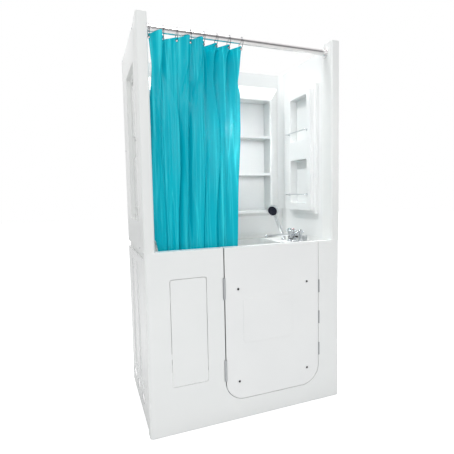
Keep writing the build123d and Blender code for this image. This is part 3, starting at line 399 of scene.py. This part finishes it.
def vinylFinish(name, look):
    mix = Finish(name)
    along = mix.place(stretch=look["streakRun"])
    streaks = mix.grain(look["streaks"], detail=3.0, rough=0.6, where=along)
    cloud = mix.grain(look["cloud"], detail=3.0)
    colour = mix.between(streaks, look["colour"], look["shade"])
    colour = mix.between(look["veil"] * cloud, colour, look["deep"])
    ridgeAndHighlight = 0
    for scale, sharp, share in look["ridges"]:
        ridgeAndHighlight = share * mix.ridges(scale, sharp, look["ridgeRun"]) + ridgeAndHighlight
    # painted highlight: the ridges are lightened towards a bright tone
    colour = mix.between(ridgeAndHighlight, colour, look["ridgeHighlightTone"])
    roughness = look["gloss"] + look["spread"] * cloud
    crinkle = mix.grain(look["crinkle"], detail=3.0, where=mix.place(stretch=look["crinkleRun"]))
    normal = mix.relief(ridgeAndHighlight, look["rise"], mix.relief(crinkle, look["depth"]))
    return solid(mix, look, colour, roughness, normal)


vinylLook = {
    "colour": tone(6, 202, 218),
    "shade": tone(0, 184, 204),
    "deep": tone(0, 152, 178),
    # the colour of the painted highlights on the ridges
    "ridgeHighlightTone": tone(60, 228, 240),
    "streaks": 26.0,
    "streakRun": (1, 1, 0.06),
    "cloud": 5.0,
    "veil": 0.5,             # how far the deep tone comes through
    "ridges": ((15.0, 40, 0.9), (37.0, 30, 0.5)),  # scale, sharpness, share
    "ridgeRun": (1, 0.3, 0.02),
    "rise": 0.0014,
    "gloss": 0.14,
    "spread": 0.10,
    "crinkle": 38.0,
    "crinkleRun": (1, 1, 0.25),
    "depth": 0.0008,
    "IOR": 1.45,
    "Specular IOR Level": 0.2,
}

finishes = {}
for slot, look in acrylicLooks.items():
    finishes[slot] = acrylicFinish(slot, look)
for slot, look in plasticLooks.items():
    finishes[slot] = plasticFinish(slot, look)
for slot, look in polishedLooks.items():
    finishes[slot] = polishedFinish(slot, look)
for slot, look in brushedLooks.items():
    finishes[slot] = brushedFinish(slot, look)
finishes["frame_steel"] = galvanisedFinish("frame_steel", frameLook)
finishes["curtain_vinyl"] = vinylFinish("curtain_vinyl", vinylLook)

for part in frame["record"]["subparts"]:
    piece = frame["nodes"][part["node"]]
    for place in piece.material_slots:
        place.material = finishes[part["material_slot"]]
print("finishes on the CAD pieces:", len(finishes))


# small modelling helpers

def clearSelection():
    if bpy.context.object and bpy.context.object.mode != "OBJECT":
        bpy.ops.object.mode_set(mode="OBJECT")
    bpy.ops.object.select_all(action="DESELECT")


def named(name, finish):
    piece = bpy.context.object
    piece.name = piece.data.name = name
    piece.data.materials.clear()
    piece.data.materials.append(finishes[finish])
    return piece


def settle(piece):  # puts an object's place into its mesh
    piece.data.transform(piece.matrix_world)
    piece.matrix_world = Matrix.Identity(4)
    return piece


# curtain: a gathered vinyl sheet hung from eight rings

ringCount = 8
ringNames = [f"curtain_ring_{number}" for number in range(1, ringCount + 1)]
ringMiddles = [sum(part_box(name), Vector()) / 2 for name in ringNames]
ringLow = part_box(ringNames[0])[0].z

curtain = {
    "columns": 240,
    "rows": 118,
    "flatWidth": 1.06,
    "flatLength": 1.18,
    "thickness": 0.0004,
    "crease": 60,            # degrees past which an edge stays sharp
    "hem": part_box("shower_curtain")[0].z,
    "reach": (-0.560, 0.0),  # from the left wall to past the last ring
    "drawFrom": -0.58407,    # where the cloth stands still when it is drawn
    "above": 0.0168,         # cloth above the rings' lowest point
    "line": ringMiddles[0].y,
    "topRowStep": 0.003,
    "topRows": 13,
    "lean": 0.4,             # how far the folds' depths tuck in behind the crest on their left
    "fullness": 1.5,
    "clear": 0.0064,         # room beside each ring's wire
    # heights of the fold tables below, from the rings down
    "levels": (2.16, 2.02, 1.88, 1.62, 1.30, 0.99),
    # how far each of the seven widths between rings falls back, and how far it bellies forward
    "back": (
        (0.000, 0.000, 0.016, 0.024, 0.020, 0.022),
        (0.030, 0.026, 0.018, 0.016, 0.018, 0.020),
        (0.000, 0.006, 0.014, 0.026, 0.028, 0.028),
        (0.004, 0.010, 0.020, 0.022, 0.024, 0.026),
        (0.034, 0.030, 0.026, 0.020, 0.022, 0.022),
        (0.032, 0.028, 0.024, 0.016, 0.024, 0.024),
        (0.034, 0.030, 0.020, 0.018, 0.020, 0.022),
    ),
    "forward": (
        (0.026, 0.020, 0.004, 0.000, 0.000, 0.000),
        (0.000, 0.000, 0.000, 0.000, 0.000, 0.000),
        (0.024, 0.014, 0.002, 0.000, 0.000, 0.000),
        (0.025, 0.014, 0.000, 0.000, 0.000, 0.000),
        (0.000, 0.000, 0.000, 0.000, 0.000, 0.000),
        (0.000, 0.000, 0.000, 0.000, 0.000, 0.000),
        (0.000, 0.000, 0.000, 0.000, 0.000, 0.000),
    ),
    "rise": (0.018, -0.006, 0.010, 0.011, -0.018, -0.016, -0.020),  # top edge between the rings
    # crests of the main folds: height and place, from each ring down
    "crests": (
        ((2.16, -0.541), (2.00, -0.525), (1.90, -0.533), (1.82, -0.540), (1.56, -0.541), (1.08, -0.540)),
        ((2.13, -0.463), (2.03, -0.468), (1.92, -0.477), (1.80, -0.484), (1.56, -0.492), (1.25, -0.474),
         (1.00, -0.474)),
        ((2.14, -0.388), (1.96, -0.393), (1.84, -0.393), (1.67, -0.383), (1.46, -0.383), (1.22, -0.399),
         (1.00, -0.407)),
        ((2.14, -0.314), (2.05, -0.324), (1.94, -0.327), (1.67, -0.336), (1.05, -0.355)),
        ((2.13, -0.240), (2.08, -0.236), (1.84, -0.242), (1.65, -0.247), (1.41, -0.241), (1.08, -0.261)),
        ((2.13, -0.166), (2.06, -0.183), (1.96, -0.187), (1.92, -0.178), (1.77, -0.159), (1.57, -0.143),
         (1.31, -0.172), (1.10, -0.182)),
        ((2.13, -0.091), (2.07, -0.108), (1.68, -0.117), (1.55, -0.119), (1.07, -0.138)),
        ((2.16, -0.015), (2.00, -0.030), (1.95, -0.039), (1.90, -0.023), (1.70, -0.022), (1.40, -0.040),
         (1.00, -0.053)),
    ),
    # smaller folds: how far they stand out (minus is towards the front), half width, and their line
    "strokes": (
        (-0.0070, 0.0070, ((1.93, -0.437), (1.72, -0.433), (1.48, -0.433), (1.10, -0.445), (0.96, -0.447))),
        (-0.0060, 0.0050, ((2.10, -0.330), (2.03, -0.336), (1.97, -0.351), (1.90, -0.366), (1.84, -0.358))),
        (-0.0060, 0.0055, ((2.10, -0.258), (2.06, -0.263), (1.96, -0.274), (1.84, -0.287))),
        (-0.0050, 0.0045, ((1.93, -0.314), (1.86, -0.315), (1.81, -0.300))),
        (-0.0050, 0.0045, ((1.90, -0.271), (1.84, -0.277), (1.80, -0.296))),
        (0.0070, 0.0110, ((1.94, -0.292), (1.89, -0.293), (1.84, -0.295))),
        (-0.0045, 0.0040, ((1.72, -0.310), (1.60, -0.318), (1.42, -0.332))),
        (-0.0070, 0.0050, ((1.72, -0.199), (1.39, -0.218), (1.10, -0.237), (0.96, -0.240))),
        (0.0080, 0.0050, ((2.00, -0.450), (1.93, -0.437), (1.87, -0.412), (1.74, -0.372), (1.57, -0.366),
                          (1.02, -0.383), (0.96, -0.384))),
        (0.0150, 0.0060, ((1.86, -0.306), (1.50, -0.304), (1.28, -0.309), (1.00, -0.312))),
        (0.0080, 0.0050, ((1.76, -0.452), (1.67, -0.454), (1.46, -0.460), (1.36, -0.462))),
        (0.0090, 0.0050, ((1.38, -0.414), (1.29, -0.417), (1.07, -0.424), (0.96, -0.426))),
        (-0.0050, 0.0060, ((1.95, -0.520), (1.80, -0.518), (1.60, -0.508), (1.44, -0.500))),
        (0.0050, 0.0080, ((1.97, -0.075), (1.90, -0.068), (1.80, -0.060))),
        (-0.0040, 0.0050, ((1.99, -0.052), (1.92, -0.045), (1.80, -0.052), (1.60, -0.048))),
        (-0.0040, 0.0050, ((1.70, -0.080), (1.40, -0.088), (1.10, -0.092))),
        (0.0040, 0.0060, ((1.96, -0.140), (1.90, -0.138), (1.80, -0.128))),
        (-0.0035, 0.0045, ((1.34, -0.296), (1.20, -0.290), (1.04, -0.286), (0.96, -0.286))),
    ),
    "fan": 0.0028,           # the small pleats that run down from each eyelet
    "cornerLift": 0.078,     # the hem's left corner catches on the post's foot
    "cornerEdge": (-0.518, -0.502),
    "cornerFade": 0.10,
}

folds = {
    "turnIn": 0.17,          # share of a width in which a fold falls back
    "comeOut": 0.12,         # where it starts to come forward again
    "comeOutCurve": 1.35,
    "bellyPeak": 0.74,
    "strokeFade": 0.25,
    "fanLines": ((-0.013, 1.0), (0.004, 0.7), (0.017, 0.8)),  # place beside the ring, and share
    "fanLength": 0.13,
    "fanStart": 0.25,
    "fanRise": 5,
    "fanWidth": 0.0042,
    "sway": (0.0022, 31, 5.1, 7.3, 0.6),
    "ripple": (0.0012, 83, -9.0, 1.9),
    "hang": (0.006, 0.5),    # how far the cloth hangs back, and over what height
    "flat": (0.0105, 0.016),  # half width and half height of the flat cloth at an eyelet
    "topFade": 0.13,
    "smoothAcross": 19,
    "smoothDown": (0.25, 0.5, 0.25),
    "smoothRounds": 3,
    "fineAcross": 2241,
    "fineAlong": 1600,
}

beside = {                   # keeps the cloth clear of the rings' wires
    "from": 0.030,           # how far below the wires it begins
    "full": 0.026,
    "depth": 0.005,
    "slack": 0.020,
    "ease": 0.003,
}


def along(points, heights, count=600, width=17, past=0.1):  # a smooth line through (height, value) pairs
    table = np.array(sorted(points))
    fine = np.linspace(heights.min() - past, heights.max() + past, count)
    raw = np.interp(fine, table[:, 0], table[:, 1])
    kernel = np.hanning(2 * width + 1) / width
    soft = np.convolve(np.pad(raw, width, mode="edge"), kernel, "same")[width:-width]
    return np.interp(heights, fine, soft)


def step(t):  # a soft step from 0 to 1
    t = np.clip(t, 0, 1)
    return t * t * (3 - 2 * t)


def smoothed(table, kernel, axis):
    edge = len(kernel) // 2
    return np.apply_along_axis(lambda line: np.convolve(np.pad(line, edge, mode="edge"), kernel, "valid"),
                               axis, table)


def bump(across, middle, width):  # a small rounded ridge along a line
    return np.exp(-((across[None, :] - middle[:, None]) / width) ** 2)


def keepAside(cloth, span, x, y, height):  # cloth level with the wires stays between its own two rings
    level = step((height - ringLow + beside["from"]) / beside["full"])
    away = step(np.abs(y) / beside["depth"])
    wires = np.array([ring.x for ring in ringMiddles])
    gap = np.clip(np.searchsorted(wires, span) - 1, 0, len(wires) - 2)
    for edge, side in ((wires[gap], 1), (wires[gap + 1], -1)):
        room = side * (x - edge) + beside["slack"] - (beside["slack"] + cloth["clear"]) * away
        x = x + side * level * (np.sqrt(room ** 2 + beside["ease"] ** 2) - room) / 2
    return x


def mainFolds(cloth, heights, across, crests):  # depth of the cloth, and lift of its top edge
    levels = np.array(cloth["levels"])
    back = [along(list(zip(levels, values)), heights) for values in cloth["back"]]
    forward = [along(list(zip(levels, values)), heights) for values in cloth["forward"]]
    depth = np.zeros((len(heights), len(across)))
    lift = np.zeros_like(depth)
    comeOut, peak = folds["comeOut"], folds["bellyPeak"]
    for gap, rise in enumerate(cloth["rise"]):
        left, right = crests[gap][:, None], crests[gap + 1][:, None]
        t = (across[None, :] - left) / (right - left)
        inside = (t >= 0) & (t < 1)
        slope = np.clip((t - comeOut) / (1 - comeOut), 0, 1) ** folds["comeOutCurve"]
        saw = step(t / folds["turnIn"]) * (1 - slope)
        belly = step(np.clip(t / peak, 0, 1)) * (1 - step((t - peak) / (1 - peak)))
        depth += inside * (cloth["fullness"] * back[gap][:, None] * saw - forward[gap][:, None] * belly)
        lift += inside * (rise * belly if rise > 0 else rise * saw)
    return depth, lift


def smallFolds(cloth, heights, across):
    depth = np.zeros((len(heights), len(across)))
    for size, width, line in cloth["strokes"]:
        high, low = line[0][0], line[-1][0]
        soft = folds["strokeFade"] * (high - low)
        fade = step((high - heights) / soft)
        if low >= cloth["hem"]:
            fade = fade * step((heights - low) / soft)
        depth += size * fade[:, None] * bump(across, along(line, heights), width)
    fall = np.clip((ringLow - heights) / folds["fanLength"], 0, 1)
    for ring in ringMiddles:
        for lean, share in folds["fanLines"]:
            size = cloth["fan"] * share * step(fall * folds["fanRise"]) * (1 - step(fall))
            middle = ring.x + lean * (folds["fanStart"] + fall)
            depth -= size[:, None] * bump(across, middle, folds["fanWidth"])
    return depth


def drift(heights, across, top):  # long waves over the whole cloth
    x, z = across[None, :], heights[:, None]
    size, run, tilt, beat, shift = folds["sway"]
    wave = size * np.sin(run * x + tilt * z) * np.sin(beat * z + shift)
    size, run, tilt, shift = folds["ripple"]
    wave += size * np.sin(run * x + tilt * z + shift)
    size, height = folds["hang"]
    return wave + size * step((top - z) / height)


def curtainSurface(cloth):
    top = ringLow + cloth["above"]
    rows, columns = cloth["rows"], cloth["columns"]
    first = np.arange(cloth["topRows"]) * cloth["topRowStep"]
    rest = np.linspace(first[-1], top - cloth["hem"], rows + 2 - cloth["topRows"])[1:]
    heights = top - np.concatenate([first, rest])
    across = np.linspace(*cloth["reach"], folds["fineAcross"])
    crests = [along(line, heights) for line in cloth["crests"]]
    depth, lift = mainFolds(cloth, heights, across, crests)
    depth += smallFolds(cloth, heights, across) + drift(heights, across, top)
    for ring in ringMiddles:  # flat around each eyelet
        aside = (across[None, :] - ring.x) / folds["flat"][0]
        above = (heights[:, None] - ringLow) / folds["flat"][1]
        depth *= 1 - np.exp(-aside ** 4 - above ** 2)
    kernel = np.hanning(folds["smoothAcross"])
    depth = smoothed(depth, kernel / kernel.sum(), 1)
    for _ in range(folds["smoothRounds"]):
        depth = smoothed(depth, np.array(folds["smoothDown"]), 0)
    places = np.zeros((len(heights), columns + 1, 3))
    widths = []
    cornerLeft, cornerRight = cloth["cornerEdge"]
    for row, height in enumerate(heights):
        span = np.linspace(crests[0][row], crests[-1][row], folds["fineAlong"])
        y = np.interp(span, across, depth[row])
        x = keepAside(cloth, span, span - cloth["lean"] * y, y, height)
        run = np.concatenate([[0], np.cumsum(np.hypot(np.diff(x), np.diff(y)))])
        widths.append(run[-1])
        even = np.linspace(0, run[-1], columns + 1)
        spot = np.interp(even, run, span)
        edge = np.interp(spot, across, lift[row]) * np.exp(-(top - height) / folds["topFade"])
        cut = step((cornerRight - spot) / (cornerRight - cornerLeft))
        corner = cloth["cornerLift"] * cut * np.exp(-(height - cloth["hem"]) / cloth["cornerFade"])
        places[row, :, 0] = np.interp(even, run, x)
        places[row, :, 1] = cloth["line"] + np.interp(even, run, y)
        places[row, :, 2] = height + edge + corner
    print("curtain's width along its folds: %.3f to %.3f m" % (min(widths), max(widths)))
    return places


eyelet = {
    "drop": 0.0016,
    "hole": 0.0062,
    # half width of each hole in the cloth, less where the cloth stretches most when it is drawn across
    "wide": (0.0058, 0.0046, 0.0040, 0.0038, 0.0038, 0.0043, 0.0055, 0.0062),
    "reach": 0.0040,         # how far from the hole a cut edge may lie
    "inner": 0.0046,
    "band": 0.0014,
    "flat": 0.6,
    "around": 28,
    "section": 12,
}


def roundHoles(mesh, holes):  # the cut edges go to an oval under each eyelet's band
    uses = {}
    for face in mesh.polygons:
        for key in face.edge_keys:
            uses[key] = uses.get(key, 0) + 1
    rim = {corner for key, count in uses.items() if count == 1 for corner in key}
    for hole, wide in zip(holes, eyelet["wide"]):
        for corner in rim:
            place = mesh.vertices[corner].co
            aside = Vector((place.x - hole.x, place.z - hole.z))
            if aside.length < eyelet["hole"] + eyelet["reach"]:
                aside.normalize()
                place.xz = hole.x + aside.x * wide, hole.z + aside.y * eyelet["hole"]


def makeCurtain(cloth):
    places = curtainSurface(cloth)
    rows, columns = places.shape[0] - 1, places.shape[1] - 1
    clearSelection()
    bpy.ops.mesh.primitive_grid_add(x_subdivisions=columns, y_subdivisions=rows, size=2, calc_uvs=True)
    sheet = named("curtainSheet", "curtain_vinyl")
    mesh = sheet.data
    for vertex in mesh.vertices:
        column = round((vertex.co.x + 1) / 2 * columns)
        row = round((1 - vertex.co.y) / 2 * rows)
        vertex.co = Vector(places[row, column])
    holes = [Vector((ring.x, cloth["line"], ringLow - eyelet["drop"])) for ring in ringMiddles]
    bpy.ops.object.mode_set(mode="EDIT")
    bpy.ops.mesh.select_all(action="DESELECT")
    bpy.ops.mesh.select_mode(type="FACE")
    bpy.ops.object.mode_set(mode="OBJECT")
    for face in mesh.polygons:
        middle = face.center
        face.select = any((middle - hole).length < eyelet["hole"] for hole in holes)
    bpy.ops.object.mode_set(mode="EDIT")
    bpy.ops.mesh.delete(type="FACE")
    bpy.ops.object.mode_set(mode="OBJECT")
    roundHoles(mesh, holes)
    thick = sheet.modifiers.new("vinyl", "SOLIDIFY")
    thick.thickness = cloth["thickness"]
    thick.offset = 0
    bpy.ops.object.modifier_apply(modifier=thick.name)
    bpy.ops.object.shade_smooth_by_angle(angle=radians(cloth["crease"]))
    return sheet


def makeEyelet(number, ring):
    clearSelection()
    middle = Vector((ring.x, curtain["line"], ringLow - eyelet["drop"]))
    bpy.ops.mesh.primitive_torus_add(
        location=middle, rotation=(pi / 2, 0, 0), major_segments=eyelet["around"],
        minor_segments=eyelet["section"], major_radius=eyelet["inner"] + eyelet["band"],
        minor_radius=eyelet["band"],
    )
    piece = settle(named(f"curtainEyelet{number}", "ring_chrome"))
    bpy.ops.object.mode_set(mode="EDIT")
    bpy.ops.mesh.select_all(action="SELECT")
    bpy.ops.transform.resize(value=(1, eyelet["flat"], 1), center_override=middle)
    bpy.ops.mesh.normals_make_consistent(inside=False)
    bpy.ops.object.mode_set(mode="OBJECT")
    bpy.ops.object.shade_smooth()
    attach(piece, f"ring_{number}")
    return piece


sheet = makeCurtain(curtain)
eyelets = [makeEyelet(number, ring) for number, ring in enumerate(ringMiddles, start=1)]
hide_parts("shower_curtain")
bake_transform(sheet)
print("curtain hung:", len(sheet.data.polygons), "faces")


# floor, world, lamps and camera

studio = {
    "floorSize": 40,
    "floorTone": tone(206, 206, 206),
    "floorShade": tone(202, 202, 202),
    "floorCloud": 1.2,
    "floorGlow": 0.78,
    "floorMirror": 0.25,     # the share of that glow that mirrors see
    "ambient": 0.67,
    "ambientTint": (0.98, 0.99, 1, 1),
    "white": (1, 1, 1, 1),
    "dark": (0.05, 0.05, 0.055, 1),
    "dimRoom": 0.15,         # how bright the room before the object looks in its mirrors
    "dimFrom": -0.95,        # heading, towards the viewer, at which it is dimmest
    "dimTo": -0.15,
    "lamps": (               # name, place, aim, size, spread, power
        ("high", (0.0, -0.3, 7.5), (0.0, -0.1, 1.0), 2.0, 180, 345),
        ("front", (-1.4, -4.4, 2.9), (0.0, -0.2, 1.3), 2.6, 180, 42),
        ("leftFront", (-3.8, -3.2, 2.2), (0.0, -0.2, 1.3), 2.0, 180, 10),
        ("overLeft", (-1.3, 0.05, 3.6), (0.57, 0.05, 1.45), 0.5, 40, 1.9),
        ("inside", (0.2, -3.6, 2.3), (0.2, 0.33, 1.55), 0.4, 14, 0.45),
    ),
}


def floorFinish():
    mix = Finish("paleFloor")
    glossy = mix.either("Is Glossy Ray")
    seen = mix.either("Is Camera Ray", "Is Transmission Ray") + studio["floorMirror"] * glossy
    tint = mix.between(mix.grain(studio["floorCloud"]), studio["floorTone"], studio["floorShade"])
    matt = mix.add("ShaderNodeBsdfDiffuse", {}, {"Color": tint})
    glow = mix.add("ShaderNodeEmission", {}, {"Color": studio["white"], "Strength": studio["floorGlow"]})
    both = mix.add("ShaderNodeAddShader", {}, {0: matt, 1: glow})
    return mix.close(mix.add("ShaderNodeMixShader", {}, {0: seen, 1: matt, 2: both}))


def airFinish():  # white to the camera, even light on the object, a dim room in front for its mirrors
    air = Finish("studioAir", bpy.data.worlds, "ShaderNodeOutputWorld")

    def backdrop(colour, strength=1.0):
        return air.add("ShaderNodeBackground", {}, {"Color": colour, "Strength": strength})

    def blend(share, first, second):
        return air.add("ShaderNodeMixShader", {}, {0: share, 1: first, 2: second})

    where = air.add("ShaderNodeTexCoord", result="Generated")
    heading = air.add("ShaderNodeSeparateXYZ", {}, {0: where}, "Y")
    room = air.add("ShaderNodeMapRange", {"interpolation_type": "SMOOTHSTEP"}, {
        "Value": heading, "From Min": studio["dimFrom"], "From Max": studio["dimTo"],
        "To Min": studio["dimRoom"], "To Max": 1.0})
    mirrored = blend(room, backdrop(studio["dark"]), backdrop(studio["white"]))
    seen = air.either("Is Camera Ray", "Is Transmission Ray")
    plain = blend(seen, backdrop(studio["ambientTint"], studio["ambient"]), backdrop(studio["white"]))
    return air.close(blend(air.either("Is Glossy Ray"), plain, mirrored))


clearSelection()
bpy.ops.mesh.primitive_plane_add(size=studio["floorSize"], location=(0, 0, 0))
floor = bpy.context.object
floor.name = "floor"
floor.data.materials.append(floorFinish())
bpy.context.scene.world = airFinish()

for name, place, aim, size, spread, power in studio["lamps"]:
    data = bpy.data.lights.new(name, "AREA")
    data.shape, data.size, data.spread, data.energy = "SQUARE", size, radians(spread), power
    lamp = bpy.data.objects.new(name, data)
    bpy.context.scene.collection.objects.link(lamp)
    lamp.location = place
    lamp.rotation_euler = (Vector(aim) - Vector(place)).to_track_quat("-Z", "Y").to_euler()

view = {
    "place": (-0.8879, -2.3422, 1.3173),
    "yaw": 21.19,
    "pitch": -4.36,
    "roll": -1.06,
    "lens": 30.09,
    "sensor": 36,
    "shift": (-0.0107, -0.0074),
}
lens = bpy.data.cameras.new("camera")
camera = bpy.data.objects.new("camera", lens)
bpy.context.scene.collection.objects.link(camera)
yaw = Matrix.Rotation(-radians(view["yaw"]), 4, "Z")
pitch = Matrix.Rotation(radians(90 + view["pitch"]), 4, "X")
roll = Matrix.Rotation(radians(view["roll"]), 4, "Z")
camera.matrix_world = Matrix.Translation(view["place"]) @ yaw @ pitch @ roll
lens.lens, lens.sensor_width = view["lens"], view["sensor"]
lens.shift_x, lens.shift_y = view["shift"]
bpy.context.scene.camera = camera
bpy.context.scene.view_settings.view_transform = "Standard"
print("studio set")
